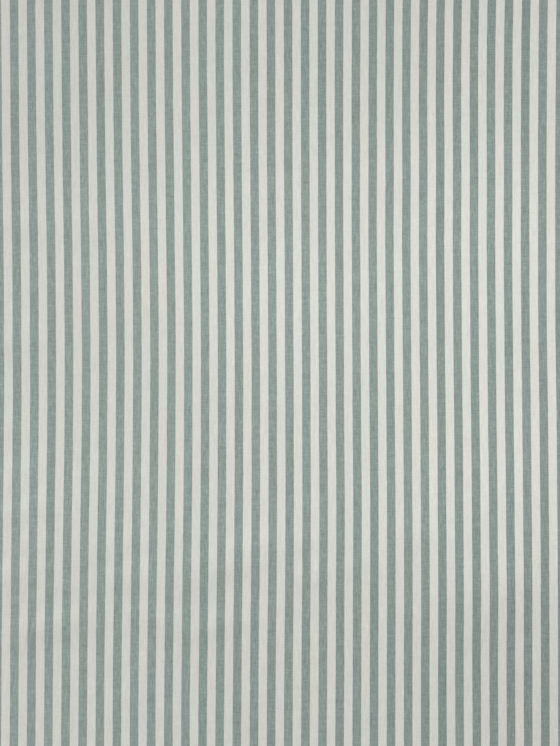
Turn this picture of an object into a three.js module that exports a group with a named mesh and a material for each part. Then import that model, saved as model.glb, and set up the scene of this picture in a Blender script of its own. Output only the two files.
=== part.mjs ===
// A square tablecloth of striped cotton, lying flat, with its hem turned under.
// Sizes are in millimetres. X runs across the woven stripes, Y along them, and Z is up.
// The origin is under the middle of the cloth, on the surface that it lies on.
import * as THREE from "three";

// The stripes set the width, because the cloth is cut between two of them.
const STRIPE_WIDTH = 11.1125;
const STRIPES_ACROSS = 119;
const FINISHED_WIDTH = STRIPE_WIDTH * STRIPES_ACROSS;
const FINISHED_LENGTH = 1320.8;

const CLOTH_THICK = 1;
const HEM_THICK = 2;
const HEM_WIDTH = 20;
const HEM_FOLD_STEP = 0.8;
const CLOTH_SETTLES_OVER = 8;
const EDGE_NOSE = 1;
const EDGE_NOSE_FROM = 0.6;
const EDGE_NOSE_TO = 1.4;
const CORNER_BLUNT = 0.35;

// The hem's section, from the cloth's edge inwards: how high its underside and its top lie.
const HEM_SECTION = [
  { fromEdge: 0, under: EDGE_NOSE_FROM, top: EDGE_NOSE_TO },
  { fromEdge: EDGE_NOSE, under: 0, top: HEM_THICK },
  { fromEdge: HEM_WIDTH - HEM_FOLD_STEP, under: 0, top: HEM_THICK },
  { fromEdge: HEM_WIDTH, under: HEM_THICK - CLOTH_THICK, top: HEM_THICK },
  { fromEdge: HEM_WIDTH + CLOTH_SETTLES_OVER, under: 0, top: CLOTH_THICK },
];
const HEM_REACH = HEM_WIDTH + CLOTH_SETTLES_OVER;

// The mesh is closer where the soft ripples lie than on the smooth rest.
const PLAIN_STEP = 66;
const RIPPLED_IN_X = { from: -470, to: 418, step: 36 };
const RIPPLED_IN_Y = { from: -390, to: 312, step: 18 };

// Hands smoothing the cloth, and the stitched hem, draw it a few millimetres to one side.
// Each pull is full at its own place, and has faded to a third at its reach.
const PULLS = [
  { x: -245, y: 10, reach: 300, across: 5, along: 0 },
  { x: 340, y: 155, reach: 285, across: -4, along: 0 },
  { x: 275, y: 420, reach: 135, across: -2, along: 0 },
  { x: 0, y: -230, reach: 140, across: 0.8, along: 0 },
  { x: -661, y: -300, reach: 170, across: 1.6, along: 0 },
  { x: -661, y: 340, reach: 140, across: 1.3, along: 0 },
  { x: 661, y: -270, reach: 160, across: -2, along: 0 },
  { x: 661, y: 470, reach: 95, across: -1.2, along: 0 },
  { x: -240, y: -660, reach: 180, across: 0, along: 2.2 },
  { x: 330, y: -660, reach: 150, across: 0, along: 1.5 },
  { x: 150, y: 660, reach: 190, across: 0, along: -2.4 },
  { x: -400, y: 660, reach: 120, across: 0, along: -1.3 },
];

// Low soft ripples that the smoothing left. A heading of 0 runs along X, and 90 along Y.
const RIPPLES = [
  { x: -62, y: -242, heading: 22, halfLength: 140, halfWidth: 40, height: 1.8 },
  { x: 22, y: -217, heading: 12, halfLength: 62, halfWidth: 24, height: 1 },
  { x: 48, y: -264, heading: 18, halfLength: 62, halfWidth: 26, height: 1.1 },
  { x: 125, y: -243, heading: 10, halfLength: 60, halfWidth: 26, height: 0.6 },
  { x: 165, y: -212, heading: 5, halfLength: 60, halfWidth: 34, height: 0.7 },
  { x: 290, y: -280, heading: 35, halfLength: 105, halfWidth: 75, height: 2.2 },
  { x: -82, y: -328, heading: 15, halfLength: 70, halfWidth: 28, height: 1.4 },
  { x: -160, y: -320, heading: 8, halfLength: 45, halfWidth: 28, height: 0.9 },
  { x: -300, y: -329, heading: 13, halfLength: 100, halfWidth: 28, height: 1.6 },
  { x: -212, y: -222, heading: 15, halfLength: 65, halfWidth: 22, height: 0.9 },
  { x: -195, y: -267, heading: 13, halfLength: 80, halfWidth: 28, height: 1 },
  { x: -315, y: -221, heading: 5, halfLength: 60, halfWidth: 22, height: 0.5 },
  { x: -365, y: -265, heading: 8, halfLength: 95, halfWidth: 25, height: 1.3 },
  { x: -352, y: -182, heading: 15, halfLength: 80, halfWidth: 23, height: 1.3 },
  { x: -338, y: -131, heading: 35, halfLength: 75, halfWidth: 28, height: 1.3 },
  { x: -370, y: -71, heading: 0, halfLength: 60, halfWidth: 28, height: 1 },
  { x: -350, y: 44, heading: 18, halfLength: 62, halfWidth: 34, height: 1.3 },
  { x: -340, y: 193, heading: 0, halfLength: 60, halfWidth: 24, height: 0.9 },
  { x: -250, y: 195, heading: 0, halfLength: 110, halfWidth: 44, height: 0.8 },
  { x: 15, y: 215, heading: 8, halfLength: 85, halfWidth: 40, height: 0.7 },
  { x: 150, y: 250, heading: 10, halfLength: 75, halfWidth: 36, height: 0.6 },
];

// Where the hem lifts a little, because its stitching is a touch tighter than the cloth.
const HEM_LIFTS = [
  { x: -470, y: -660, heading: 84, halfLength: 120, halfWidth: 90, height: 0.8 },
  { x: -60, y: -660, heading: 97, halfLength: 130, halfWidth: 100, height: 0.6 },
  { x: 410, y: -660, heading: 88, halfLength: 115, halfWidth: 85, height: 0.9 },
  { x: 660, y: -420, heading: 5, halfLength: 110, halfWidth: 90, height: 0.7 },
  { x: 660, y: 120, heading: -7, halfLength: 125, halfWidth: 100, height: 0.8 },
  { x: 400, y: 660, heading: 93, halfLength: 120, halfWidth: 90, height: 0.9 },
  { x: -130, y: 660, heading: 86, halfLength: 115, halfWidth: 95, height: 0.7 },
  { x: -660, y: 480, heading: -4, halfLength: 110, halfWidth: 85, height: 0.8 },
  { x: -660, y: -60, heading: 6, halfLength: 120, halfWidth: 95, height: 0.6 },
];

const COTTON_COLOUR = 0xb4bbb5;
const COTTON_ROUGHNESS = 0.95;

// A soft bump of height 1 that reaches 0, level, at a distance of 1.
function softBump(distance) {
  const reached = Math.min(Math.abs(distance), 1);
  return Math.cos((reached * Math.PI) / 2) ** 2;
}

// How high one ripple lifts the point x, y.
function rippleAt(ripple, x, y) {
  const angle = THREE.MathUtils.degToRad(ripple.heading);
  const eastward = x - ripple.x;
  const northward = y - ripple.y;
  const alongIt = eastward * Math.cos(angle) + northward * Math.sin(angle);
  const acrossIt = northward * Math.cos(angle) - eastward * Math.sin(angle);
  const lengthwise = softBump(alongIt / ripple.halfLength);
  const crosswise = softBump(acrossIt / ripple.halfWidth);
  return ripple.height * lengthwise * crosswise;
}

// Where ripples cross, the higher one counts, so that no crossing stands up as a peak.
function liftAt(x, y) {
  const lifts = [...RIPPLES, ...HEM_LIFTS].map((ripple) => rippleAt(ripple, x, y));
  return Math.max(...lifts);
}

// How far all the pulls together move the point x, y.
function pullAt(x, y) {
  const moved = new THREE.Vector2();
  for (const pull of PULLS) {
    const distance = Math.hypot(x - pull.x, y - pull.y) / pull.reach;
    const share = Math.exp(-(distance ** 2));
    moved.x += pull.across * share;
    moved.y += pull.along * share;
  }
  return moved;
}

// The underside and top of the cloth at a distance from its edge, read off the hem's section.
function sectionAt(fromEdge) {
  const last = HEM_SECTION.length - 1;
  for (let row = 0; row < last; row += 1) {
    const outer = HEM_SECTION[row];
    const inner = HEM_SECTION[row + 1];
    if (fromEdge <= inner.fromEdge) {
      const share = (fromEdge - outer.fromEdge) / (inner.fromEdge - outer.fromEdge);
      return {
        under: THREE.MathUtils.lerp(outer.under, inner.under, share),
        top: THREE.MathUtils.lerp(outer.top, inner.top, share),
      };
    }
  }
  return HEM_SECTION[last];
}

// Even steps from one place to the next, near the wanted step, without the last place.
function evenSteps(from, to, step) {
  const count = Math.max(1, Math.round((to - from) / step));
  return Array.from({ length: count }, (_, index) => from + ((to - from) * index) / count);
}

// The mesh lines across one direction: the hem's folds at both edges, and steps between them.
function meshLines(size, rippled) {
  const edge = size / 2;
  const inside = edge - HEM_REACH;
  const lowHem = HEM_SECTION.map((row) => row.fromEdge - edge);
  const highHem = HEM_SECTION.map((row) => edge - row.fromEdge).reverse();
  return [
    ...lowHem.slice(0, -1),
    ...evenSteps(-inside, rippled.from, PLAIN_STEP),
    ...evenSteps(rippled.from, rippled.to, rippled.step),
    ...evenSteps(rippled.to, inside, PLAIN_STEP),
    ...highHem,
  ];
}

// One face of the cloth's mesh as points, row after row; side is "under" or "top".
function facePoints(linesX, linesY, side) {
  const points = [];
  const edgeX = FINISHED_WIDTH / 2;
  const edgeY = FINISHED_LENGTH / 2;
  for (const y of linesY) {
    for (const x of linesX) {
      const fromSide = edgeX - Math.abs(x);
      const fromEnd = edgeY - Math.abs(y);
      const section = sectionAt(Math.min(fromSide, fromEnd));
      const isCorner = Math.max(fromSide, fromEnd) < EDGE_NOSE / 2;
      const blunt = isCorner ? CORNER_BLUNT : 0;
      const moved = pullAt(x, y);
      points.push(
        x - Math.sign(x) * blunt + moved.x,
        y - Math.sign(y) * blunt + moved.y,
        section[side] + liftAt(x, y),
      );
    }
  }
  return points;
}

// Two triangles for each mesh cell. Their shared edge points at the middle of the cloth,
// so that at the corners it lies on the mitre.
function faceTriangles(linesX, linesY, firstPoint, facesUp) {
  const triangles = [];
  const across = linesX.length;
  for (let row = 0; row < linesY.length - 1; row += 1) {
    for (let column = 0; column < across - 1; column += 1) {
      const a = firstPoint + row * across + column;
      const b = a + 1;
      const c = b + across;
      const d = a + across;
      const middleX = linesX[column] + linesX[column + 1];
      const middleY = linesY[row] + linesY[row + 1];
      const cell = middleX * middleY > 0 ? [a, b, c, a, c, d] : [a, b, d, b, c, d];
      triangles.push(...(facesUp ? cell : cell.reverse()));
    }
  }
  return triangles;
}

// The mesh's outermost points, once round the cloth, counter-clockwise from above.
function rimLoop(linesX, linesY) {
  const across = linesX.length;
  const up = linesY.length;
  const loop = [];
  for (let column = 0; column < across - 1; column += 1) loop.push(column);
  for (let row = 0; row < up - 1; row += 1) loop.push(row * across + across - 1);
  for (let column = across - 1; column > 0; column -= 1) loop.push((up - 1) * across + column);
  for (let row = up - 1; row > 0; row -= 1) loop.push(row * across);
  return loop;
}

function clothGeometry() {
  const linesX = meshLines(FINISHED_WIDTH, RIPPLED_IN_X);
  const linesY = meshLines(FINISHED_LENGTH, RIPPLED_IN_Y);
  const pointsPerFace = linesX.length * linesY.length;
  const positions = [
    ...facePoints(linesX, linesY, "under"),
    ...facePoints(linesX, linesY, "top"),
  ];
  const triangles = [
    ...faceTriangles(linesX, linesY, 0, false),
    ...faceTriangles(linesX, linesY, pointsPerFace, true),
  ];
  const loop = rimLoop(linesX, linesY);
  loop.forEach((low, index) => {
    const lowNext = loop[(index + 1) % loop.length];
    const high = low + pointsPerFace;
    const highNext = lowNext + pointsPerFace;
    triangles.push(low, lowNext, highNext, low, highNext, high);
  });
  const geometry = new THREE.BufferGeometry();
  geometry.setAttribute("position", new THREE.Float32BufferAttribute(positions, 3));
  geometry.setIndex(triangles);
  geometry.computeVertexNormals();
  return geometry;
}

const cotton = new THREE.MeshStandardMaterial({
  color: COTTON_COLOUR,
  roughness: COTTON_ROUGHNESS,
  metalness: 0,
  flatShading: true,
});

const cloth = new THREE.Mesh(clothGeometry(), cotton);
cloth.name = "tablecloth";

const tablecloth = new THREE.Group();
tablecloth.add(cloth);

export default tablecloth;
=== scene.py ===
# %% [markdown]
# # A striped cotton tablecloth, laid flat
# The real thing is one panel of plain-woven cotton. Its green and cream stripes are in the warp,
# so they show on both faces. Its four edges are turned under twice and held by a row of stitches.
# This lesson builds it in that order: the panel, how it lies, the folded hem, the thread, and then
# the yarns in the material. First comes the frame, a fixed model that gives the size and place.

# %% Load the frame
import math

import bpy
import numpy as np
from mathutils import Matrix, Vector


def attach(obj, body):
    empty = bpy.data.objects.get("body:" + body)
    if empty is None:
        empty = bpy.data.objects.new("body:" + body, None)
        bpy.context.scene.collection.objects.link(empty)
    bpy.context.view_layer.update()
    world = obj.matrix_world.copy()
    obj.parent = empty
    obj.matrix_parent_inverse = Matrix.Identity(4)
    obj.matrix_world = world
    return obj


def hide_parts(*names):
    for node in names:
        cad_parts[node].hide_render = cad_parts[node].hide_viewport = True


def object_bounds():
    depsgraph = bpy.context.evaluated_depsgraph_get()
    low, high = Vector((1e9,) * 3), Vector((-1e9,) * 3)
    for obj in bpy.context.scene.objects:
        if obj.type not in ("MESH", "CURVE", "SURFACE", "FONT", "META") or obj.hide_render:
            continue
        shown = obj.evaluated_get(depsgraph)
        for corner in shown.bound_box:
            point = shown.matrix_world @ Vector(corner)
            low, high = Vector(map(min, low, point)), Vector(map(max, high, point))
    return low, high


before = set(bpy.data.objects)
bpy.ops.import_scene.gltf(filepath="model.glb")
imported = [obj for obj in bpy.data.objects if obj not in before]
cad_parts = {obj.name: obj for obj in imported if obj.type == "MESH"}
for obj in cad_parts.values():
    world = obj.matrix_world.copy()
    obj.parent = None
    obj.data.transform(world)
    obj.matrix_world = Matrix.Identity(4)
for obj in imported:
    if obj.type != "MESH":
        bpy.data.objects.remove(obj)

cad_low, cad_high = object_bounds()
cad_size = cad_high - cad_low
print("the frame's box is", [round(side, 4) for side in cad_size], "m")

# %% [markdown]
# ## Sizes
# A weaver counts in stripes and a sewer in turnings, so those are the driving sizes. The cloth is
# cut between two stripes, which makes its width a whole number of them. All lengths are in metres,
# as everywhere in Blender, and MM keeps the numbers readable.

# %% The cloth's sizes
MM = 0.001
STRIPE = 11.1125 * MM
STRIPES_ACROSS = 119
HALF_W = STRIPE * STRIPES_ACROSS / 2
HALF_L = 1320.8 * MM / 2
THICK = 0.45 * MM
HEM_WIDTH = 20 * MM
HEM_ALLOWANCE = 38.1 * MM
CUT_W = 2 * (HALF_W + HEM_ALLOWANCE)
CUT_L = 2 * (HALF_L + HEM_ALLOWANCE)
print(f"finished {2 * HALF_W:.4f} by {2 * HALF_L:.4f} m, cut {CUT_W:.4f} by {CUT_L:.4f} m")
print(f"off the frame by {(cad_size.x / 2 - HALF_W) / MM:.2f} mm in x at each side")

# %% [markdown]
# ## How the cloth lies
# A flat cloth isn't a perfect plane. Hands that smooth it drag it a few millimetres sideways, which
# bends the stripes, and they leave low soft ripples. The hem is stiffer than the cloth, so it also
# lifts a little here and there along the edges. This could be done with a cloth simulation, but a
# simulation won't put a ripple where the real one lies. Here each pull, ripple and lift is a row in
# a short table, in millimetres and degrees, and numpy adds them up for every point at once.

# %% Pulls that bend the stripes
PULLS = [
    dict(x=-245, y=10, reach=300, across=5, along=0),
    dict(x=340, y=155, reach=285, across=-4, along=0),
    dict(x=275, y=420, reach=135, across=-2, along=0),
    dict(x=0, y=-230, reach=140, across=0.8, along=0),
    dict(x=-661, y=-300, reach=170, across=1.6, along=0),
    dict(x=-661, y=340, reach=140, across=1.3, along=0),
    dict(x=661, y=-270, reach=160, across=-2, along=0),
    dict(x=661, y=470, reach=95, across=-1.2, along=0),
    dict(x=-240, y=-660, reach=180, across=0, along=2.2),
    dict(x=330, y=-660, reach=150, across=0, along=1.5),
    dict(x=150, y=660, reach=190, across=0, along=-2.4),
    dict(x=-400, y=660, reach=120, across=0, along=-1.3),
]


def pulled(x, y):
    """Where the pulls move the flat places x, y, all in metres."""
    moved_x, moved_y = np.array(x, float), np.array(y, float)
    for pull in PULLS:
        distance = np.hypot(x - pull["x"] * MM, y - pull["y"] * MM) / (pull["reach"] * MM)
        share = np.exp(-(distance**2)) * MM
        moved_x += pull["across"] * share
        moved_y += pull["along"] * share
    return moved_x, moved_y


furthest = max(max(abs(pull["across"]), abs(pull["along"])) for pull in PULLS)
print(f"{len(PULLS)} pulls, the strongest of {furthest} mm")

# %% Ripples and the hem's own lifts
RIPPLES = [
    dict(x=-62, y=-242, heading=22, half_length=140, half_width=40, height=1.8),
    dict(x=22, y=-217, heading=12, half_length=62, half_width=24, height=1),
    dict(x=48, y=-264, heading=18, half_length=62, half_width=26, height=1.1),
    dict(x=125, y=-243, heading=10, half_length=60, half_width=26, height=0.6),
    dict(x=165, y=-212, heading=5, half_length=60, half_width=34, height=0.7),
    dict(x=290, y=-280, heading=35, half_length=105, half_width=75, height=2.2),
    dict(x=-82, y=-328, heading=15, half_length=70, half_width=28, height=1.4),
    dict(x=-160, y=-320, heading=8, half_length=45, half_width=28, height=0.9),
    dict(x=-300, y=-329, heading=13, half_length=100, half_width=28, height=1.6),
    dict(x=-212, y=-222, heading=15, half_length=65, half_width=22, height=0.9),
    dict(x=-195, y=-267, heading=13, half_length=80, half_width=28, height=1),
    dict(x=-315, y=-221, heading=5, half_length=60, half_width=22, height=0.5),
    dict(x=-365, y=-265, heading=8, half_length=95, half_width=25, height=1.3),
    dict(x=-352, y=-182, heading=15, half_length=80, half_width=23, height=1.3),
    dict(x=-338, y=-131, heading=35, half_length=75, half_width=28, height=1.3),
    dict(x=-370, y=-71, heading=0, half_length=60, half_width=28, height=1),
    dict(x=-350, y=44, heading=18, half_length=62, half_width=34, height=1.3),
    dict(x=-340, y=193, heading=0, half_length=60, half_width=24, height=0.9),
    dict(x=-250, y=195, heading=0, half_length=110, half_width=44, height=0.8),
    dict(x=15, y=215, heading=8, half_length=85, half_width=40, height=0.7),
    dict(x=150, y=250, heading=10, half_length=75, half_width=36, height=0.6),
]
HEM_LIFTS = [
    dict(x=-470, y=-660, heading=84, half_length=120, half_width=90, height=0.8),
    dict(x=-60, y=-660, heading=97, half_length=130, half_width=100, height=0.6),
    dict(x=410, y=-660, heading=88, half_length=115, half_width=85, height=0.9),
    dict(x=660, y=-420, heading=5, half_length=110, half_width=90, height=0.7),
    dict(x=660, y=120, heading=-7, half_length=125, half_width=100, height=0.8),
    dict(x=400, y=660, heading=93, half_length=120, half_width=90, height=0.9),
    dict(x=-130, y=660, heading=86, half_length=115, half_width=95, height=0.7),
    dict(x=-660, y=480, heading=-4, half_length=110, half_width=85, height=0.8),
    dict(x=-660, y=-60, heading=6, half_length=120, half_width=95, height=0.6),
]
RIPPLE_BLEND = 3


def soft_bump(distance):
    """Height 1 at distance 0, falling to a level 0 at distance 1."""
    return np.cos(np.minimum(np.abs(distance), 1) * math.pi / 2) ** 2


def lifted(x, y):
    """How high the ripples and lifts raise the places x, y. Crossing ripples blend into one."""
    total = np.zeros_like(np.asarray(x, float))
    for ripple in RIPPLES + HEM_LIFTS:
        angle = math.radians(ripple["heading"])
        east, north = x / MM - ripple["x"], y / MM - ripple["y"]
        along = east * math.cos(angle) + north * math.sin(angle)
        across = north * math.cos(angle) - east * math.sin(angle)
        bump = soft_bump(along / ripple["half_length"]) * soft_bump(across / ripple["half_width"])
        total += (ripple["height"] * bump) ** RIPPLE_BLEND
    return total ** (1 / RIPPLE_BLEND) * MM


# %% [markdown]
# ### Small waves between the ripples
# Pressed cotton is never quite level, even where it looks flat, and a tight row of stitches gathers
# the hem into small waves. Neither has one place on the cloth, so no table is needed: each is a sum
# of sine waves of random lengths. The random numbers are seeded, so the cloth lies the same way each
# time. A bump in the material could fake this, but real heights are part of the mesh itself.

# %% A faint unevenness all over
UNEVEN = dict(waves=40, shortest=38 * MM, longest=140 * MM, height=0.05 * MM, limit=2)
WAVE_SLANT = dict(mean=0.4, degrees=28)
WAVE_SEED = 7
seeded = np.random.default_rng(WAVE_SEED)
wave_lengths = seeded.uniform(UNEVEN["shortest"], UNEVEN["longest"], UNEVEN["waves"])
wave_slants = seeded.normal(WAVE_SLANT["mean"], 1, UNEVEN["waves"])
wave_headings = math.radians(90) + math.radians(WAVE_SLANT["degrees"]) * wave_slants
wave_starts = seeded.uniform(0, 2 * math.pi, UNEVEN["waves"])


def uneven(x, y):
    """A small height for the places x, y, never under 0, as pressed cotton on a table has."""
    total = np.zeros_like(np.asarray(x, float))
    for length, heading, start in zip(wave_lengths, wave_headings, wave_starts):
        along = x * math.cos(heading) + y * math.sin(heading)
        total += np.sin(2 * math.pi * along / length + start)
    spread = math.sqrt(UNEVEN["waves"] / 2)
    return UNEVEN["height"] * np.clip(total / spread + UNEVEN["limit"], 0, 2 * UNEVEN["limit"])


SAMPLED = dict(half=600 * MM, count=201)
sample = np.linspace(-SAMPLED["half"], SAMPLED["half"], SAMPLED["count"])
sample_x, sample_y = np.meshgrid(sample, sample)
print(f"ripples reach {lifted(sample_x, sample_y).max() / MM:.2f} mm")
print(f"unevenness is {uneven(sample_x, sample_y).std() / MM:.3f} mm about its mean")

# %% Waves along the hem
HEM_WAVES = dict(waves=7, shortest=34 * MM, longest=62 * MM, height=0.11 * MM, reach=11 * MM, limit=2)
OPPOSITE_HEMS = dict(sides=1, ends=3)
STITCH_IN = 18 * MM
hem_lengths = seeded.uniform(HEM_WAVES["shortest"], HEM_WAVES["longest"], HEM_WAVES["waves"])
hem_starts = seeded.uniform(0, 2 * math.pi, HEM_WAVES["waves"])


def edge_distances(x, y):
    """How far x, y lie in from the nearer side edge, and from the nearer end edge."""
    return HALF_W - np.abs(x), HALF_L - np.abs(y)


def hem_wave(along, across):
    """Height of one hem's waves, full at its stitches and faded to about a third at their reach."""
    total = sum(np.sin(2 * math.pi * along / n + start) for n, start in zip(hem_lengths, hem_starts))
    spread = math.sqrt(HEM_WAVES["waves"] / 2)
    raised = np.clip(total / spread / HEM_WAVES["limit"] + 1, 0, 2)
    return HEM_WAVES["height"] * raised * np.exp(-(((across - STITCH_IN) / HEM_WAVES["reach"]) ** 2))


def gathered(x, y):
    """The waves of all four hems. Tight stitches gather the cloth, on opposite hems in other places."""
    from_side, from_end = edge_distances(x, y)
    side_waves = hem_wave(y + OPPOSITE_HEMS["sides"] * np.sign(x), from_side)
    return side_waves + hem_wave(x + OPPOSITE_HEMS["ends"] * np.sign(y), from_end)


print(f"the hem's waves reach {gathered(sample, 0 * sample - HALF_L + STITCH_IN).max() / MM:.2f} mm")

# %% [markdown]
# ## The hem's section
# Cut through the hem, the cloth shows three layers: the face, the turned edge under it, and the raw
# edge tucked between the two. A thick strip would look the same from above, but not from the side
# or from below. So the section is drawn once, as a walk along both skins of the cloth, and the walk
# is then carried round all four sides. Each step holds its distance in from the finished edge, its
# height, and how far along the cloth it is, which later tells the stripes where to run.

# %% Heights of the three layers
LAYER_GAP = 0.02 * MM
LOW = THICK / 2
MIDDLE = LOW + THICK + LAYER_GAP
HIGH = MIDDLE + THICK + LAYER_GAP
HEM_TOP = HIGH + THICK / 2
EDGE_TURN = (HIGH - LOW) / 2
TUCK_TURN = (MIDDLE - LOW) / 2
NOSE = EDGE_TURN + THICK / 2
TUCK_NOSE = TUCK_TURN + THICK / 2
TUCK_AT = HEM_WIDTH - TUCK_NOSE
print(f"the hem is {HEM_TOP / MM:.2f} mm thick, the cloth {THICK / MM:.2f} mm")

# %% The walk along the section
EDGE_STEPS = 6
TUCK_STEPS = 4
INNER_STEPS = 3
MID_HEM = 10 * MM
LOW_SKIN = [3.5 * MM, 8 * MM, 12.5 * MM, 16 * MM, 17.2 * MM, STITCH_IN, 18.8 * MM, TUCK_AT]
section = []


def step(from_edge, height, along):
    """Adds one point of the section: distance in, height, and place along the cloth."""
    section.append((from_edge, height, along))


def turn(centre, height, radius, run_radius, start, count, inwards, first_along):
    """Steps round a fold, from above to below the cloth or back, as start says."""
    for number in range(1, count + 1):
        swept = math.pi * number / count
        side = 1 if inwards else -1
        from_edge = centre + side * radius * math.sin(swept)
        step(from_edge, height + start * radius * math.cos(swept), first_along + run_radius * swept)


after_edge = math.pi * EDGE_TURN
after_layer = after_edge + TUCK_AT - NOSE
after_tuck = after_layer + math.pi * TUCK_TURN
raw_along = NOSE + HEM_ALLOWANCE
RAW_AT = TUCK_AT - (raw_along - after_tuck)

turn(NOSE, (HIGH + LOW) / 2, NOSE, EDGE_TURN, 1, EDGE_STEPS, False, 0)
for from_edge in LOW_SKIN:
    step(from_edge, 0, after_edge + from_edge - NOSE)
turn(TUCK_AT, (MIDDLE + LOW) / 2, TUCK_NOSE, TUCK_TURN, -1, TUCK_STEPS, True, after_layer)
for from_edge in (STITCH_IN, MID_HEM, RAW_AT):
    step(from_edge, MIDDLE + THICK / 2, after_tuck + TUCK_AT - from_edge)
step(RAW_AT, MIDDLE - THICK / 2, raw_along + THICK)
for from_edge in (MID_HEM, STITCH_IN, TUCK_AT):
    step(from_edge, MIDDLE - THICK / 2, after_tuck + TUCK_AT - from_edge)
for from_edge in (TUCK_AT, STITCH_IN, MID_HEM, NOSE):
    step(from_edge, LOW + THICK / 2, after_edge + from_edge - NOSE)
INNER_NOSE = EDGE_TURN - THICK / 2
for number in range(1, INNER_STEPS):
    swept = math.pi * number / INNER_STEPS
    height = (HIGH + LOW) / 2 - INNER_NOSE * math.cos(swept)
    step(NOSE - INNER_NOSE * math.sin(swept), height, EDGE_TURN * (math.pi - swept))
section = np.array(section)
print(f"{len(section)} steps; the raw edge is tucked {RAW_AT / MM:.2f} mm in from the fold")

# %% [markdown]
# ## Mesh lines and the two skins
# Both skins of the panel are grids. A plain grid with even steps would waste points on the smooth
# middle and miss the hem's small steps. So the lines stand close across the hem and wider inside
# it. The same lines serve both skins, which keeps the cloth equally thick.

# %% Mesh lines
ACROSS_HEM = np.array([2, 4.5, 8.5, 12.5]) * MM
NEAR_STITCHES = np.array([15.5, 17, 17.6, 18, 18.4, 19, 20]) * MM
SETTLING = np.array([21.2, 22.8, 25, 28]) * MM
HEM_LINES = np.concatenate([[NOSE], ACROSS_HEM, NEAR_STITCHES, SETTLING])
HEM_REACH = HEM_LINES[-1]
SETTLE = dict(start=HEM_WIDTH, end=HEM_REACH)
STEP_ACROSS = 11 * MM
STEP_ALONG = 8 * MM


def mesh_lines(half, wanted_step):
    """Places of the mesh lines between two opposite edges."""
    inside = half - HEM_REACH
    count = round(2 * inside / wanted_step)
    middle = np.linspace(-inside, inside, count + 1)
    return np.concatenate([HEM_LINES[:-1] - half, middle, half - HEM_LINES[-2::-1]])


lines_x = mesh_lines(HALF_W, STEP_ACROSS)
lines_y = mesh_lines(HALF_L, STEP_ALONG)
flat_x, flat_y = (grid.ravel() for grid in np.meshgrid(lines_x, lines_y))
print(f"{len(lines_x)} by {len(lines_y)} mesh lines")

# %% [markdown]
# ## Stitches press the hem
# A row of lockstitch squeezes the three layers together, so the hem has a shallow channel on both
# faces, and the thread lies in it. Squeezing every height by one rule, near the stitch line, keeps
# the layers from passing through each other. Each corner has a mitre: the turned layers of two
# sides meet on a slant, and a small valley marks the join below.

# %% Press the layers and mark the mitres
PRESSED = dict(half_width=0.9 * MM, squeeze=0.2, raise_by=0.15 * MM)
MITRE = dict(half_width=0.7 * MM, depth=0.12 * MM)
CORNER = dict(blunt=0.35 * MM, reach=3 * MM)


def pressed(x, y, height):
    """The height after the stitches have squeezed the layers together."""
    from_edge = np.minimum(*edge_distances(x, y))
    share = np.exp(-(((from_edge - STITCH_IN) / PRESSED["half_width"]) ** 2))
    return height * (1 - PRESSED["squeeze"] * share) + PRESSED["raise_by"] * share


def mitred(x, y, height):
    """A valley in the hem's lowest skin, along the slant where two sides meet."""
    from_side, from_end = edge_distances(x, y)
    beside = np.abs(from_side - from_end) / math.sqrt(2)
    valley = MITRE["depth"] * np.exp(-((beside / MITRE["half_width"]) ** 2))
    in_hem = (np.minimum(from_side, from_end) < HEM_WIDTH) & (height < LOW)
    return height + valley * in_hem


def laid(x, y, height):
    """The points in the frame for flat places x, y, at a height in the flat pressed cloth."""
    from_side, from_end = edge_distances(x, y)
    from_corner = np.hypot(from_side, from_end) / CORNER["reach"]
    blunt = CORNER["blunt"] * np.exp(-(from_corner**2))
    place_x, place_y = pulled(x, y)
    place_z = mitred(x, y, pressed(x, y, height)) + lifted(x, y) + uneven(x, y) + gathered(x, y)
    return np.stack([place_x - np.sign(x) * blunt, place_y - np.sign(y) * blunt, place_z], 1)


def face_height(x, y):
    """The top of the cloth: on three layers at the hem, and down on the table inside it."""
    from_edge = np.minimum(*edge_distances(x, y))
    share = np.clip((from_edge - SETTLE["start"]) / (SETTLE["end"] - SETTLE["start"]), 0, 1)
    smooth = share * share * (3 - 2 * share)
    return HEM_TOP + (THICK - HEM_TOP) * smooth


channel = HEM_TOP * PRESSED["squeeze"] - PRESSED["raise_by"]
print(f"the channel under the stitches is {channel / MM:.2f} mm deep")

# %% [markdown]
# ## Joining it into one closed mesh
# The section's steps become rings of points round the cloth, between the rim of the upper grid and
# the rim of the lower one. Near a corner the points of a ring slide along the slant, so each ring
# stays square. The result is one closed skin without a gap, as the real cloth is one piece.

# %% Points of the grids and the hem's rings
across, up = len(lines_x), len(lines_y)
grid_points = across * up
rim = np.concatenate([
    np.arange(across - 1),
    np.arange(up - 1) * across + across - 1,
    (up - 1) * across + np.arange(across - 1, 0, -1),
    np.arange(up - 1, 0, -1) * across,
])
rim_x, rim_y = flat_x[rim], flat_y[rim]


def inset(places, half, from_edge):
    """Slides the places of one rim coordinate so that the rim lies from_edge in from the edge."""
    beyond = np.maximum(np.abs(places) - (half - HEM_REACH), 0)
    squeezed = beyond * (HEM_REACH - from_edge) / (HEM_REACH - NOSE)
    return np.sign(places) * (np.abs(places) - beyond + squeezed)


top = face_height(flat_x, flat_y)
points = [laid(flat_x, flat_y, top), laid(flat_x, flat_y, top - THICK)]
rings = [rim]
ring_flat = [(rim_x, rim_y)]
for number, (from_edge, height, along) in enumerate(section):
    ring_x = inset(rim_x, HALF_W, from_edge)
    ring_y = inset(rim_y, HALF_L, from_edge)
    points.append(laid(ring_x, ring_y, np.full_like(ring_x, height)))
    rings.append(2 * grid_points + number * len(rim) + np.arange(len(rim)))
    ring_flat.append((ring_x, ring_y))
rings.append(grid_points + rim)
ring_flat.append((rim_x, rim_y))
points = np.concatenate(points)
print(f"{len(points)} points in {len(rings)} rings and two grids")

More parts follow.
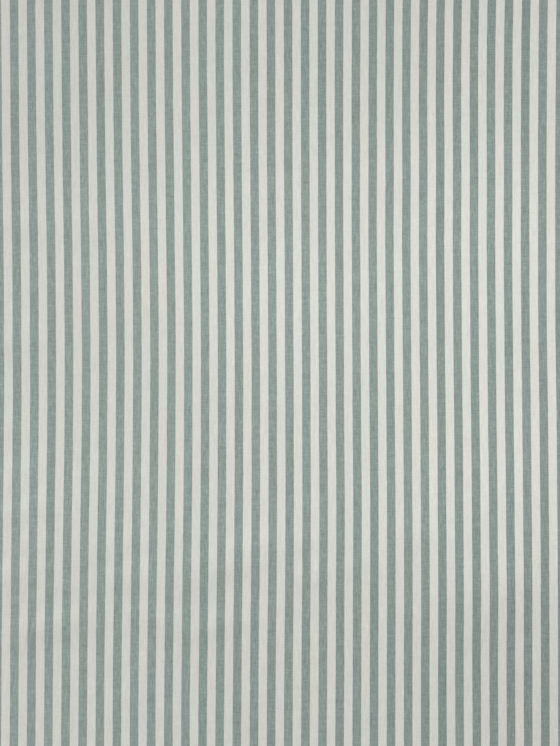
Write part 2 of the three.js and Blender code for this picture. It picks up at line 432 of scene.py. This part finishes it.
# %% [markdown]
# ## Faces, and the cloth's own coordinates
# Every corner of a face also stores where it was on the flat cut panel, before the hem was turned.
# That UV map, named cut, is the cloth's own ruler in metres. The stripes, yarns and flecks are all
# drawn on it, so they run on round the fold and along the turned layers as woven ones do. A second
# map holds the same places fitted into a unit square, which is what an image of the cloth needs.

# %% Faces with their places on the cut panel
ring_along = np.concatenate([[0], section[:, 2], [0]])
SIDE_OF = np.concatenate([np.full(n, s) for s, n in enumerate((across - 1, up - 1, across - 1, up - 1))])
OUT_X = np.array([0, 1, 0, -1])[SIDE_OF]
OUT_Y = np.array([-1, 0, 1, 0])[SIDE_OF]


def cut_place(number, shift):
    """Cut-panel places of ring `number` at the start (shift 0) or end (shift 1) of each rim step."""
    x, y = (np.roll(values, -shift) for values in ring_flat[number])
    along = ring_along[number]
    u = np.where(OUT_X != 0, OUT_X * (HALF_W - NOSE + along), x)
    v = np.where(OUT_Y != 0, OUT_Y * (HALF_L - NOSE + along), y)
    return np.stack([u, v], 1)


corner = (np.arange(up - 1)[:, None] * across + np.arange(across - 1)).ravel()
grid_quads = np.stack([corner, corner + 1, corner + across + 1, corner + across], 1)
grid_cut = np.stack([flat_x, flat_y], 1)[grid_quads]
quads = [grid_quads, grid_quads[:, ::-1] + grid_points]
cuts = [grid_cut, grid_cut[:, ::-1]]
for number in range(len(rings) - 1):
    upper, lower = rings[number], rings[number + 1]
    quads.append(np.stack([lower, np.roll(lower, -1), np.roll(upper, -1), upper], 1))
    places = (cut_place(number + 1, 0), cut_place(number + 1, 1), cut_place(number, 1), cut_place(number, 0))
    cuts.append(np.stack(places, 1))
quads, cuts = np.concatenate(quads), np.concatenate(cuts)


def mesh_object(name, places, faces):
    """A new object in the scene from an array of points and a list of faces, shaded smooth."""
    data = bpy.data.meshes.new(name)
    data.from_pydata(places.tolist(), [], faces)
    data.shade_smooth()
    made = bpy.data.objects.new(name, data)
    bpy.context.scene.collection.objects.link(made)
    return made


def add_map(piece, name, corners):
    """Stores a UV map: one place for each corner of each face, in the faces' order."""
    layer = piece.data.uv_layers.new(name=name)
    layer.data.foreach_set("uv", np.asarray(corners, np.float32).ravel())


MAP_MARGIN = 2 * MM
cloth = mesh_object("striped_cloth", points, quads.tolist())
add_map(cloth, "cut", cuts)
add_map(cloth, "OFBake", cuts / (np.array([CUT_W, CUT_L]) + 2 * MAP_MARGIN) + 0.5)
print(f"{len(quads)} faces, {2 * len(quads)} triangles")

# %% [markdown]
# ## The thread
# The hem is held by lockstitch, which looks alike on both faces: short runs of thread that dip into
# the cloth at each end. A texture could paint them, but real stitches catch light and cast tiny
# shadows, so each one is a small bent capsule, closed at both ends. One capsule is made as arrays
# and copied along the row by numpy, which is quicker than thousands of objects, and gives one
# joined mesh.

# %% One stitch as a small bent capsule
STITCH = dict(pitch=3 * MM, length=2.75 * MM, half_width=0.16 * MM, half_height=0.11 * MM)
RING_SIDES = 5
# Each ring has its place along the stitch and its fullness there.
STITCH_RINGS = [(-0.5, 0.25), (-0.36, 0.95), (0, 1), (0.36, 0.95), (0.5, 0.25)]
DIP = 0.16 * MM
RIDE_UP = 0.07 * MM

stitch_points, stitch_spins = [], 2 * math.pi * np.arange(RING_SIDES) / RING_SIDES
for place, fullness in STITCH_RINGS:
    sag = DIP * (2 * place) ** 4
    for spin in stitch_spins:
        sideways = STITCH["half_width"] * fullness * math.cos(spin)
        upwards = STITCH["half_height"] * fullness * math.sin(spin) - sag
        stitch_points.append((place * STITCH["length"], sideways, upwards))
stitch_points = np.array(stitch_points)
ring_of, side_of = (grid.ravel() for grid in np.mgrid[: len(STITCH_RINGS) - 1, :RING_SIDES])
ring_corners = ring_of[:, None] + (0, 1, 1, 0)
side_corners = side_of[:, None] + (0, 0, 1, 1)
stitch_quads = ring_corners * RING_SIDES + side_corners % RING_SIDES
stitch_map = np.stack([ring_corners / (len(STITCH_RINGS) - 1), side_corners / RING_SIDES], 2)
end_sides = np.stack([np.arange(RING_SIDES), np.arange(RING_SIDES)[::-1]])
end_rings = np.array([[0], [len(STITCH_RINGS) - 1]])
stitch_ends = end_rings * RING_SIDES + end_sides
end_map = np.stack([end_rings / (len(STITCH_RINGS) - 1) + 0 * end_sides, end_sides / RING_SIDES], 2)
print(f"one stitch has {len(stitch_points)} points and {len(stitch_quads) + len(stitch_ends)} faces")

# %% The rows on both faces
ROW_W, ROW_L = HALF_W - STITCH_IN, HALF_L - STITCH_IN
HAND = dict(along=0.05 * MM, aside=0.06 * MM, slant=0.02, slant_varies=0.03)
SEWING_SEED = 21
sewer = np.random.default_rng(SEWING_SEED)


def row_side(corner_x, corner_y, heading_x, heading_y, length):
    """Middles and headings of the stitches along one side, uneven as a sewer's hand is."""
    count = round(length / STITCH["pitch"])
    along = (np.arange(count) + 0.5) / count * length
    along = along + sewer.normal(0, HAND["along"], count)
    aside = sewer.normal(0, HAND["aside"], count)
    x = corner_x + heading_x * along - heading_y * aside
    y = corner_y + heading_y * along + heading_x * aside
    slant = math.atan2(heading_y, heading_x) + sewer.normal(HAND["slant"], HAND["slant_varies"], count)
    return np.stack([x, y, slant], 1)


def repeated(faces, count):
    """The faces of one stitch, repeated for a row of count stitches."""
    firsts = np.arange(count) * len(stitch_points)
    return (faces[None] + firsts[:, None, None]).reshape(-1, faces.shape[1])


def row(face):
    """Points of all stitches of the row on one face: 1 for the top, -1 for the underside."""
    sides = [
        row_side(-ROW_W, -ROW_L, 1, 0, 2 * ROW_W),
        row_side(ROW_W, -ROW_L, 0, 1, 2 * ROW_L),
        row_side(ROW_W, ROW_L, -1, 0, 2 * ROW_W),
        row_side(-ROW_W, ROW_L, 0, -1, 2 * ROW_L),
    ]
    x, y, slant = np.concatenate(sides).T
    height = np.full_like(x, HEM_TOP) if face > 0 else np.zeros_like(x)
    middles = laid(x, y, height)
    middles[:, 2] += face * RIDE_UP
    local = stitch_points * (1, 1, face)
    cos, sin = np.cos(slant)[:, None], np.sin(slant)[:, None]
    turned_x = local[:, 0] * cos - local[:, 1] * sin
    turned_y = local[:, 0] * sin + local[:, 1] * cos
    turned_z = np.broadcast_to(local[:, 2], turned_x.shape)
    places = middles[:, None, :] + np.stack([turned_x, turned_y, turned_z], 2)
    return places.reshape(-1, 3)


row_points = np.concatenate([row(1), row(-1)])
row_faces, row_map = [], []
stitches_a_face = len(row_points) // len(stitch_points) // 2
# The underside's stitches are mirrored, so the two rows wind their faces in opposite ways.
for faces, corners in ((stitch_quads, stitch_map), (stitch_ends, end_map)):
    for first, winding in ((0, -1), (len(row_points) // 2, 1)):
        row_faces += (repeated(faces[:, ::winding], stitches_a_face) + first).tolist()
        row_map.append(np.tile(corners[:, ::winding], (stitches_a_face, 1, 1)).reshape(-1, 2))
stitching = mesh_object("hem_stitching", row_points, row_faces)
add_map(stitching, "OFBake", np.concatenate(row_map))
stitching.data.calc_loop_triangles()
print(f"{2 * stitches_a_face} stitches, {len(stitching.data.loop_triangles)} triangles")

# %% [markdown]
# ## Small helpers for materials
# A material in Blender is a graph of nodes. Wiring it by hand in code takes many lines, so two
# helpers do it: one adds a node and links or sets its inputs, and one does sums, where each value
# may be a plain number or another node's output.


# %% Node helpers
def add_node(tree, kind, inputs=(), **settings):
    """Adds a node, applies its settings, and links each input to a socket or sets its value."""
    made = tree.nodes.new(kind)
    for name, value in settings.items():
        setattr(made, name, value)
    for name, value in dict(inputs).items():
        if isinstance(value, bpy.types.NodeSocket):
            tree.links.new(value, made.inputs[name])
        else:
            made.inputs[name].default_value = value
    return made


def sums(tree):
    """A function that adds one Math node to the tree and returns its output."""

    def calculate(operation, *values):
        """One sum of numbers and sockets."""
        inputs = dict(enumerate(values))
        return add_node(tree, "ShaderNodeMath", inputs, operation=operation).outputs[0]

    return calculate


def new_material(name):
    """A material whose node tree is still empty."""
    made = bpy.data.materials.new(name)
    made.use_nodes = True
    made.node_tree.nodes.clear()
    return made


# %% [markdown]
# ## The cotton
# The green is not printed. It is dyed warp yarn, crossed by undyed cream weft, so the green stripes
# look heathered: light flecks of weft, and yarns that are a shade darker or lighter along their
# length. The cream stripes are calm, with faint lines only. The material therefore counts yarns:
# 22 warp yarns to a stripe. Each yarn and each weft pick gets its own shade from noise that is read
# at the yarn's number, so it is long along the yarn and cut off at its side.

# %% Yarn counts and colours
YARNS_TO_A_STRIPE = 22
WARP_PITCH = STRIPE / YARNS_TO_A_STRIPE
WEFT_PITCH = 0.54 * MM
CREAM = (0.735, 0.735, 0.690)
GREEN = (0.290, 0.356, 0.328)
GREEN_WEFT, GREEN_WARP = 1.08, 0.92
CREAM_WEFT, CREAM_WARP = 0.985, 1.015

cotton = new_material("striped_cotton")
tree = cotton.node_tree
calc = sums(tree)


def noise(x, y, detail=0.0):
    """Smooth noise from 0 to 1 at x, y."""
    place = add_node(tree, "ShaderNodeCombineXYZ", {"X": x, "Y": y}).outputs[0]
    inputs = {"Vector": place, "Scale": 1.0, "Detail": detail}
    return add_node(tree, "ShaderNodeTexNoise", inputs, noise_dimensions="2D").outputs[0]


def about_one(value, amount):
    """Turns noise from 0 to 1 into a factor about 1."""
    return calc("ADD", calc("MULTIPLY", calc("SUBTRACT", value, 0.5), 2 * amount), 1)


place = add_node(tree, "ShaderNodeUVMap", uv_map="cut").outputs[0]
parts = add_node(tree, "ShaderNodeSeparateXYZ", {"Vector": place})
u_flat, v_flat = parts.outputs["X"], parts.outputs["Y"]
print(f"{10 * MM / WARP_PITCH:.1f} warp and {10 * MM / WEFT_PITCH:.1f} weft yarns to a centimetre")

# %% Let the yarns wander a little, then count them
SIDEWAYS = dict(fast_u=14, fast_v=9, starts=0, most=0.5 * MM)
LENGTHWAYS = dict(fast_u=6, fast_v=11, starts=40, most=1.5 * MM)


def wandered(place, wander):
    """A place on one ruler, moved by slow noise, so that no yarn runs quite straight."""
    along = calc("ADD", calc("MULTIPLY", v_flat, wander["fast_v"]), wander["starts"])
    drift = noise(calc("MULTIPLY", u_flat, wander["fast_u"]), along)
    return calc("MULTIPLY_ADD", calc("SUBTRACT", drift, 0.5), wander["most"], place)


u, v = wandered(u_flat, SIDEWAYS), wandered(v_flat, LENGTHWAYS)
warp_count = calc("DIVIDE", u, WARP_PITCH)
weft_count = calc("DIVIDE", v, WEFT_PITCH)
warp_number, weft_number = calc("FLOOR", warp_count), calc("FLOOR", weft_count)
stripe_number = calc("FLOOR", calc("MULTIPLY_ADD", u, 1 / STRIPE, 0.5))
is_green = calc("FLOORED_MODULO", stripe_number, 2)
warp_on_top = calc("FLOORED_MODULO", calc("ADD", warp_number, weft_number), 2)
print(f"a stripe's edge wanders by up to {SIDEWAYS['most'] / 2 / MM:.2f} mm")

# %% [markdown]
# ### Shades of the yarns
# Noises at several scales make the heather. One is long along the warp, one is long along the weft,
# and two are a soft mottle of a few millimetres, where dye took a little more or less. Another
# draws the faint lines that a loom's reed leaves, one for every few yarns. Slower ones, from some
# centimetres to a third of a metre long, keep the cloth from looking printed. The green also deepens
# a little from the left edge to the right, and one stripe, the nineteenth to the right of the middle
# one, is a shade darker than its neighbours.

# %% Shades of the yarns
# Each shade is noise, read at two of the cloth's rulers, x and y, so many times as fast.
SHADES = dict(
    warp=dict(x=warp_number, fast_x=7.13, y=v, fast_y=50, detail=1.0),
    weft=dict(x=u, fast_x=48, y=weft_number, fast_y=5.37, detail=1.0),
    fleck=dict(x=u, fast_x=800, y=v, fast_y=650, detail=1.0),
    mottle=dict(x=u, fast_x=270, y=v, fast_y=180, detail=2.0),
    stripe=dict(x=stripe_number, fast_x=5.31, y=v, fast_y=3, detail=0.0),
    slow=dict(x=u, fast_x=3, y=v, fast_y=4, detail=0.0),
    patch=dict(x=u, fast_x=34, y=v, fast_y=60, detail=1.0),
    reed=dict(x=warp_count, fast_x=0.45, y=v, fast_y=18, detail=1.0),
)
IN_GREEN = dict(warp=0.34, weft=0.19, fleck=0.24, mottle=0.17, stripe=0.045)
IN_CREAM = dict(warp=0.13, weft=0.04, fleck=0.06, mottle=0.05, stripe=0.02)
IN_BOTH = dict(slow=0.05, patch=0.008, reed=0.025)
DARKER_STRIPE = dict(number=19, by=0.025)
DEEPENS = dict(reach=550 * MM, by=0.09)


def shade(x, fast_x, y, fast_y, detail):
    """The noise of one row of the table."""
    return noise(calc("MULTIPLY", x, fast_x), calc("MULTIPLY", y, fast_y), detail)


def product(first, *others):
    """Multiplies any number of factors."""
    for other in others:
        first = calc("MULTIPLY", first, other)
    return first


def shaded(amounts):
    """One factor from several shades, each by its own amount."""
    return product(*(about_one(shades[name], amount) for name, amount in amounts.items()))


shades = {name: shade(**row) for name, row in SHADES.items()}
is_darker = calc("COMPARE", stripe_number, DARKER_STRIPE["number"], 0.5)
darker = calc("MULTIPLY_ADD", is_darker, -DARKER_STRIPE["by"], 1)
deeper_range = {"Value": u, "From Min": -DEEPENS["reach"], "From Max": DEEPENS["reach"]}
deeper_range.update({"To Min": 1 + DEEPENS["by"], "To Max": 1 - DEEPENS["by"]})
deeper = add_node(tree, "ShaderNodeMapRange", deeper_range, interpolation_type="SMOOTHSTEP").outputs[0]
shade_green = product(shaded(IN_GREEN), darker, deeper)
shade_cream = shaded(IN_CREAM)
shade_all = shaded(IN_BOTH)
print(f"{len(SHADES)} shades, {len(tree.nodes)} nodes so far")

# %% Colours of the yarns
# The Mix node has a set of sockets for each kind of value. These are the ones for colour.
MIX_FACTOR, MIX_FIRST, MIX_SECOND, MIX_RESULT = 0, 6, 7, 2


def mixed(factor, first, second):
    """A colour between two: the first at factor 0, the second at 1."""
    inputs = {MIX_FACTOR: factor, MIX_FIRST: first, MIX_SECOND: second}
    return add_node(tree, "ShaderNodeMix", inputs, data_type="RGBA").outputs[MIX_RESULT]


def scaled(colour, factor):
    """A colour times a number."""
    return add_node(tree, "ShaderNodeVectorMath", {0: colour, "Scale": factor}, operation="SCALE").outputs[0]


def tint(colour, factor=1):
    """A colour of four numbers, made lighter or darker."""
    return (*(factor * part for part in colour), 1)


green_cell = mixed(warp_on_top, tint(GREEN, GREEN_WEFT), tint(GREEN, GREEN_WARP))
cream_cell = mixed(warp_on_top, tint(CREAM, CREAM_WEFT), tint(CREAM, CREAM_WARP))
green_side = scaled(green_cell, shade_green)
cream_side = scaled(cream_cell, shade_cream)
plain_colour = scaled(mixed(is_green, cream_side, green_side), shade_all)
print("a green warp yarn is", [round(part, 3) for part in tint(GREEN, GREEN_WARP)[:3]])

# %% [markdown]
# ### Stripes that differ a touch
# Warp yarn comes from many cones, and no two lots take dye quite alike, so one stripe is a touch
# warmer or cooler than the next. Two more noises, read at the stripe's number and far along it,
# raise or lower its red and its blue by a few hundredths. One colour for all would be simpler, but
# real stripes seen side by side never match that well.

# %% A touch warmer or cooler from stripe to stripe
DRIFT = dict(per_stripe=0.23, per_metre=6, green_starts=31.7, blue_starts=57.3, amount=0.038)
DRIFT_DETAIL = 1.0
cream_row = calc("MULTIPLY", stripe_number, DRIFT["per_stripe"])
lot_row = calc("MULTIPLY_ADD", is_green, DRIFT["green_starts"], cream_row)
lot_along = calc("MULTIPLY", v, DRIFT["per_metre"])
red_drift = about_one(noise(lot_row, lot_along, DRIFT_DETAIL), DRIFT["amount"])
blue_row = calc("ADD", lot_row, DRIFT["blue_starts"])
blue_drift = about_one(noise(blue_row, lot_along, DRIFT_DETAIL), DRIFT["amount"])
drift = add_node(tree, "ShaderNodeCombineXYZ", {"X": red_drift, "Y": 1, "Z": blue_drift}).outputs[0]
drifted = add_node(tree, "ShaderNodeVectorMath", {0: plain_colour, 1: drift}, operation="MULTIPLY")
lot_colour = drifted.outputs[0]
print(f"red and blue drift by up to {DRIFT['amount']:.1%}")

# %% [markdown]
# ### The weave's relief
# Each yarn is round, and it bends down at both ends of a float, where it passes under the next
# one. A bump node turns that height into slanted light, which is right for shapes half a millimetre
# wide: real geometry at that scale would take millions of faces. The gaps between yarns hold a
# little shadow too, so the same height also darkens the colour there.

# %% The weave's relief
CROWN = 0.05 * MM
FLOAT_DIP = 0.5
GAP_SHADOW = 0.24
# A float's height averaged over its cell. With it the gaps' shadow leaves the mean colour alone.
MEAN_HEIGHT = 5 / 9
MOTTLE_RELIEF = 0.8
ROUGHNESS = dict(least=0.84, more=0.12)


def crown(count):
    """Height 1 along the middle of each yarn and 0 at its sides."""
    from_middle = calc("SUBTRACT", calc("FRACT", count), 0.5)
    return calc("SUBTRACT", 1, calc("MULTIPLY", calc("MULTIPLY", from_middle, from_middle), 4))


def either(chooser, when_zero, when_one):
    """One of two values, as the chooser is 0 or 1."""
    difference = calc("SUBTRACT", when_one, when_zero)
    return calc("MULTIPLY_ADD", chooser, difference, when_zero)


warp_crown, weft_crown = crown(warp_count), crown(weft_count)
warp_float = calc("MULTIPLY", warp_crown, calc("MULTIPLY_ADD", weft_crown, FLOAT_DIP, 1 - FLOAT_DIP))
weft_float = calc("MULTIPLY", weft_crown, calc("MULTIPLY_ADD", warp_crown, FLOAT_DIP, 1 - FLOAT_DIP))
yarn_height = either(warp_on_top, weft_float, warp_float)
gap_shade = calc("MULTIPLY_ADD", yarn_height, GAP_SHADOW, 1 - GAP_SHADOW * MEAN_HEIGHT)
relief = calc("MULTIPLY_ADD", shades["mottle"], MOTTLE_RELIEF, yarn_height)
roughness = calc("MULTIPLY_ADD", shades["mottle"], ROUGHNESS["more"], ROUGHNESS["least"])
print(f"the yarns stand {CROWN / MM:.2f} mm above the gaps between them")

# %% [markdown]
# ### What the needle did
# Every stitch pulls its thread down through the hem. It leaves a small hole at each end, and it
# gathers the cloth into fine puckers beside the row. A hole is a dip in the bump, and its colour is
# darkened as painted shade, the shadow that a real hole holds. Both are drawn from the distance to
# the row, which the cut panel's own ruler gives. The same row passes through the turned layer,
# equally far beyond the fold, so one rule marks both faces.

# %% Distances to the rows of stitches
def across_row(place, half, beside, row_half):
    """Distance from the row near half, on both layers of its hem, and from the row's ends."""
    from_fold = calc("ABSOLUTE", calc("SUBTRACT", calc("ABSOLUTE", place), half))
    from_row = calc("ABSOLUTE", calc("SUBTRACT", from_fold, STITCH_IN))
    return calc("MAXIMUM", from_row, calc("SUBTRACT", calc("ABSOLUTE", beside), row_half))


def from_hole(along, row_half, across):
    """Distance to the nearest needle hole of a row."""
    count = round(2 * row_half / STITCH["pitch"])
    pitch = 2 * row_half / count
    holes = calc("FRACT", calc("MULTIPLY_ADD", along, 1 / pitch, count / 2 + 0.5))
    beside = calc("MULTIPLY", calc("SUBTRACT", holes, 0.5), pitch)
    squares = calc("ADD", calc("MULTIPLY", beside, beside), calc("MULTIPLY", across, across))
    return calc("SQRT", squares)


across_sides = across_row(u_flat, HALF_W, v_flat, ROW_L)
across_ends = across_row(v_flat, HALF_L, u_flat, ROW_W)
end_hole = from_hole(u_flat, ROW_W, across_ends)
side_hole = from_hole(v_flat, ROW_L, across_sides)
nearest_hole = calc("MINIMUM", end_hole, side_hole)
print(f"the rows are {2 * ROW_W:.3f} and {2 * ROW_L:.3f} m long")

# %% Needle holes and puckers
# darkens is how deep the painted shade is at the middle of a needle hole.
HOLE = dict(inner=0.08 * MM, outer=0.36 * MM, darkens=0.45)
PUCKER = dict(spacing=7 * MM, reach=7 * MM, height=0.09 * MM, drifts=3.6, fast_along=60, fast_across=30)
PUCKER_DETAIL = 1.0
NEEDLE_BUMP = 1.0
WEAVE_BUMP = 0.6


def fading(value, near, far):
    """1 up to near, falling softly to 0 at far."""
    inputs = {"Value": value, "From Min": near, "From Max": far, "To Min": 1, "To Max": 0}
    return add_node(tree, "ShaderNodeMapRange", inputs, interpolation_type="SMOOTHSTEP").outputs[0]


def pucker_wave(along, across):
    """Small waves beside one row, which fade away from it and aren't evenly spaced."""
    drift = shade(along, PUCKER["fast_along"], across, PUCKER["fast_across"], PUCKER_DETAIL)
    turns = calc("MULTIPLY_ADD", along, 1 / PUCKER["spacing"], calc("MULTIPLY", drift, PUCKER["drifts"]))
    wave = calc("SINE", calc("MULTIPLY", turns, 2 * math.pi))
    return calc("MULTIPLY", wave, fading(across, 0, PUCKER["reach"]))


hole = fading(nearest_hole, HOLE["inner"], HOLE["outer"])
# Painted shade: each needle hole darkens the cotton's colour, where a real hole holds shadow.
needle_hole_painted_shade = calc("MULTIPLY_ADD", hole, -HOLE["darkens"], 1)
puckers = calc("ADD", pucker_wave(u_flat, across_ends), pucker_wave(v_flat, across_sides))
needle_relief = calc("SUBTRACT", puckers, hole)
needle_inputs = {"Strength": NEEDLE_BUMP, "Distance": PUCKER["height"], "Height": needle_relief}
needle_bump = add_node(tree, "ShaderNodeBump", needle_inputs).outputs[0]
weave_inputs = {"Strength": WEAVE_BUMP, "Distance": CROWN, "Height": relief, "Normal": needle_bump}
weave_bump = add_node(tree, "ShaderNodeBump", weave_inputs).outputs[0]
# The base colour carries painted shade: the gaps' shadow and the needle holes' shadow.
base_colour = scaled(lot_colour, calc("MULTIPLY", gap_shade, needle_hole_painted_shade))
print(f"a needle hole fades out {HOLE['outer'] / MM:.2f} mm from its middle")

# %% Join the cotton's nodes
COTTON_GLOSS = {"Specular IOR Level": 0.25, "Sheen Weight": 0.12, "Sheen Roughness": 0.6}
cotton_inputs = {"Base Color": base_colour, "Roughness": roughness, "Normal": weave_bump, **COTTON_GLOSS}
cotton_shader = add_node(tree, "ShaderNodeBsdfPrincipled", cotton_inputs)
add_node(tree, "ShaderNodeOutputMaterial", {"Surface": cotton_shader.outputs[0]})
cloth.data.materials.append(cotton)
print(f"the cotton has {len(tree.nodes)} nodes")

# %% [markdown]
# ## The sewing thread
# Hem thread is a fine two-ply cotton in the cream of the ground. Its plies twist round each other,
# so two slanted grooves run round every stitch, drawn on the stitch's own map of length and girth.
# The grooves are a bump, and the colour is also darker in them as painted shade, the shadow a real
# groove holds.
# The plies' surface is a little hairy, which a fine noise along the thread gives.

# %% The sewing thread's material
THREAD = (0.70, 0.70, 0.655)
TWISTS = 7
PLIES = 2
PLY_HEIGHT = 0.04 * MM
PLY_BUMP = 0.8
HAIRS = dict(fast_along=30, fast_round=6, detail=1.0)
# plies is how much lighter a ply's crown is painted than its groove: painted shade.
THREAD_TONE_AND_PLY_SHADE = dict(least=0.76, hairs=0.16, plies=0.2)
THREAD_GLOSS = {"Roughness": 0.6, "Sheen Weight": 0.1}
thread = new_material("cream_thread")
tree = thread.node_tree
calc = sums(tree)
stitch_place = add_node(tree, "ShaderNodeUVMap", uv_map="OFBake").outputs[0]
stitch_parts = add_node(tree, "ShaderNodeSeparateXYZ", {"Vector": stitch_place})
along_stitch, round_stitch = stitch_parts.outputs["X"], stitch_parts.outputs["Y"]
ply_turns = calc("ADD", calc("MULTIPLY", along_stitch, TWISTS), calc("MULTIPLY", round_stitch, PLIES))
ply_crown = calc("ABSOLUTE", calc("SINE", calc("MULTIPLY", ply_turns, math.pi)))
hairs = shade(along_stitch, HAIRS["fast_along"], ply_turns, HAIRS["fast_round"], HAIRS["detail"])
hair_light = calc("MULTIPLY_ADD", hairs, THREAD_TONE_AND_PLY_SHADE["hairs"], THREAD_TONE_AND_PLY_SHADE["least"])
# Painted shade: the thread is lighter on each ply's crown and darker in the grooves.
thread_tone_and_ply_shade = calc("MULTIPLY_ADD", ply_crown, THREAD_TONE_AND_PLY_SHADE["plies"], hair_light)
thread_colour = scaled(THREAD, thread_tone_and_ply_shade)
ply_inputs = {"Strength": PLY_BUMP, "Distance": PLY_HEIGHT, "Height": ply_crown}
ply_bump = add_node(tree, "ShaderNodeBump", ply_inputs).outputs[0]
thread_inputs = {"Base Color": thread_colour, "Normal": ply_bump, **THREAD_GLOSS}
thread_shader = add_node(tree, "ShaderNodeBsdfPrincipled", thread_inputs)
add_node(tree, "ShaderNodeOutputMaterial", {"Surface": thread_shader.outputs[0]})
stitching.data.materials.append(thread)
print(f"the thread has {len(tree.nodes)} nodes")

# %% [markdown]
# ## Floor, light and camera
# The cloth lies on a plain pale floor. Low ripples show only where light comes from one side, so
# the key light is a wide far window beyond the cloth's upper edge. Two soft lamps, one out to the
# left and one above the right half, and a pale sky fill the shade, so that each ripple stays a faint
# band. The camera looks straight down, which keeps the stripes parallel right out to the corners,
# and its lens is long, so that the raised places hardly shift in the picture.

# %% The floor
FLOOR_HALF = 30.0
FLOOR_BELOW = 0.3 * MM
FLOOR_FINISH = {"Base Color": (0.78, 0.78, 0.77, 1), "Roughness": 0.7}
floor_corners = np.array([(-1, -1), (1, -1), (1, 1), (-1, 1)]) * FLOOR_HALF
floor_points = np.column_stack([floor_corners, np.full(4, -FLOOR_BELOW)])
floor = mesh_object("floor", floor_points, [(0, 1, 2, 3)])
floor_paint = new_material("pale_floor")
floor_shader = add_node(floor_paint.node_tree, "ShaderNodeBsdfPrincipled", FLOOR_FINISH)
add_node(floor_paint.node_tree, "ShaderNodeOutputMaterial", {"Surface": floor_shader.outputs[0]})
floor.data.materials.append(floor_paint)
print(f"the floor is {FLOOR_BELOW / MM:.1f} mm under the cloth")

# %% A sky that is palest low down
SKY = dict(low=0.62, above=0.145, fades_by=0.5)
scene = bpy.context.scene
sky = bpy.data.worlds.new("studio_sky")
sky.use_nodes = True
direction = add_node(sky.node_tree, "ShaderNodeTexCoord").outputs["Generated"]
how_high = add_node(sky.node_tree, "ShaderNodeSeparateXYZ", {"Vector": direction}).outputs["Z"]
sky_range = {"Value": how_high, "From Max": SKY["fades_by"], "To Min": SKY["low"], "To Max": SKY["above"]}
strength = add_node(sky.node_tree, "ShaderNodeMapRange", sky_range).outputs[0]
backdrop = sky.node_tree.nodes["Background"]
backdrop.inputs["Color"].default_value = (1, 1, 1, 1)
sky.node_tree.links.new(strength, backdrop.inputs["Strength"])
scene.world = sky
print(f"the sky goes from {SKY['low']} at the horizon to {SKY['above']} above")

# %% The lamps
WINDOW = dict(towards=(0.22, 0.8, 0.55), spread=30, strength=2.4)
LEFT_LAMP = dict(place=(-1.2, -0.33, 1.3), width=1.2, power=5.42)
OVERHEAD_LAMP = dict(place=(0.27, 0.1, 0.7), width=0.5, power=1.75)


def window_light(name, towards, spread, strength):
    """Even light from far away, as from a wide window, from the side that towards points to."""
    data = bpy.data.lights.new(name, "SUN")
    data.angle = math.radians(spread)
    data.energy = strength
    lamp = bpy.data.objects.new(name, data)
    lamp.rotation_euler = Vector(towards).to_track_quat("Z", "Y").to_euler()
    scene.collection.objects.link(lamp)


def soft_lamp(name, place, width, power):
    """A square area lamp that shines straight down and is hidden from the camera."""
    data = bpy.data.lights.new(name, "AREA")
    data.size = width
    data.energy = power
    lamp = bpy.data.objects.new(name, data)
    lamp.location = place
    lamp.visible_camera = False
    scene.collection.objects.link(lamp)


window_light("window_light", **WINDOW)
soft_lamp("left_hand_lamp", **LEFT_LAMP)
soft_lamp("overhead_lamp", **OVERHEAD_LAMP)
print("the lamps are", [light.name for light in bpy.data.lights])

# %% The camera
LENS = 85.0
SENSOR = 36.0
FRAME_LONG_SIDE = 966.9 * MM
CAMERA_X = 0.6 * MM
camera_data = bpy.data.cameras.new("camera")
camera_data.lens = LENS
camera_data.sensor_width = SENSOR
camera = bpy.data.objects.new("camera", camera_data)
camera.location = (CAMERA_X, 0, FRAME_LONG_SIDE * LENS / SENSOR + THICK)
scene.collection.objects.link(camera)
scene.camera = camera
scene.view_settings.view_transform = "Standard"
print(f"the camera is {camera.location.z:.3f} m up")

# %% [markdown]
# ## Hand the pieces to the frame
# Both pieces ride on the part's only body, and the frame's own plain solid of the cloth is hidden,
# so the cloth takes its place.

for piece in (cloth, stitching):
    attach(piece, "root")
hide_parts("tablecloth")
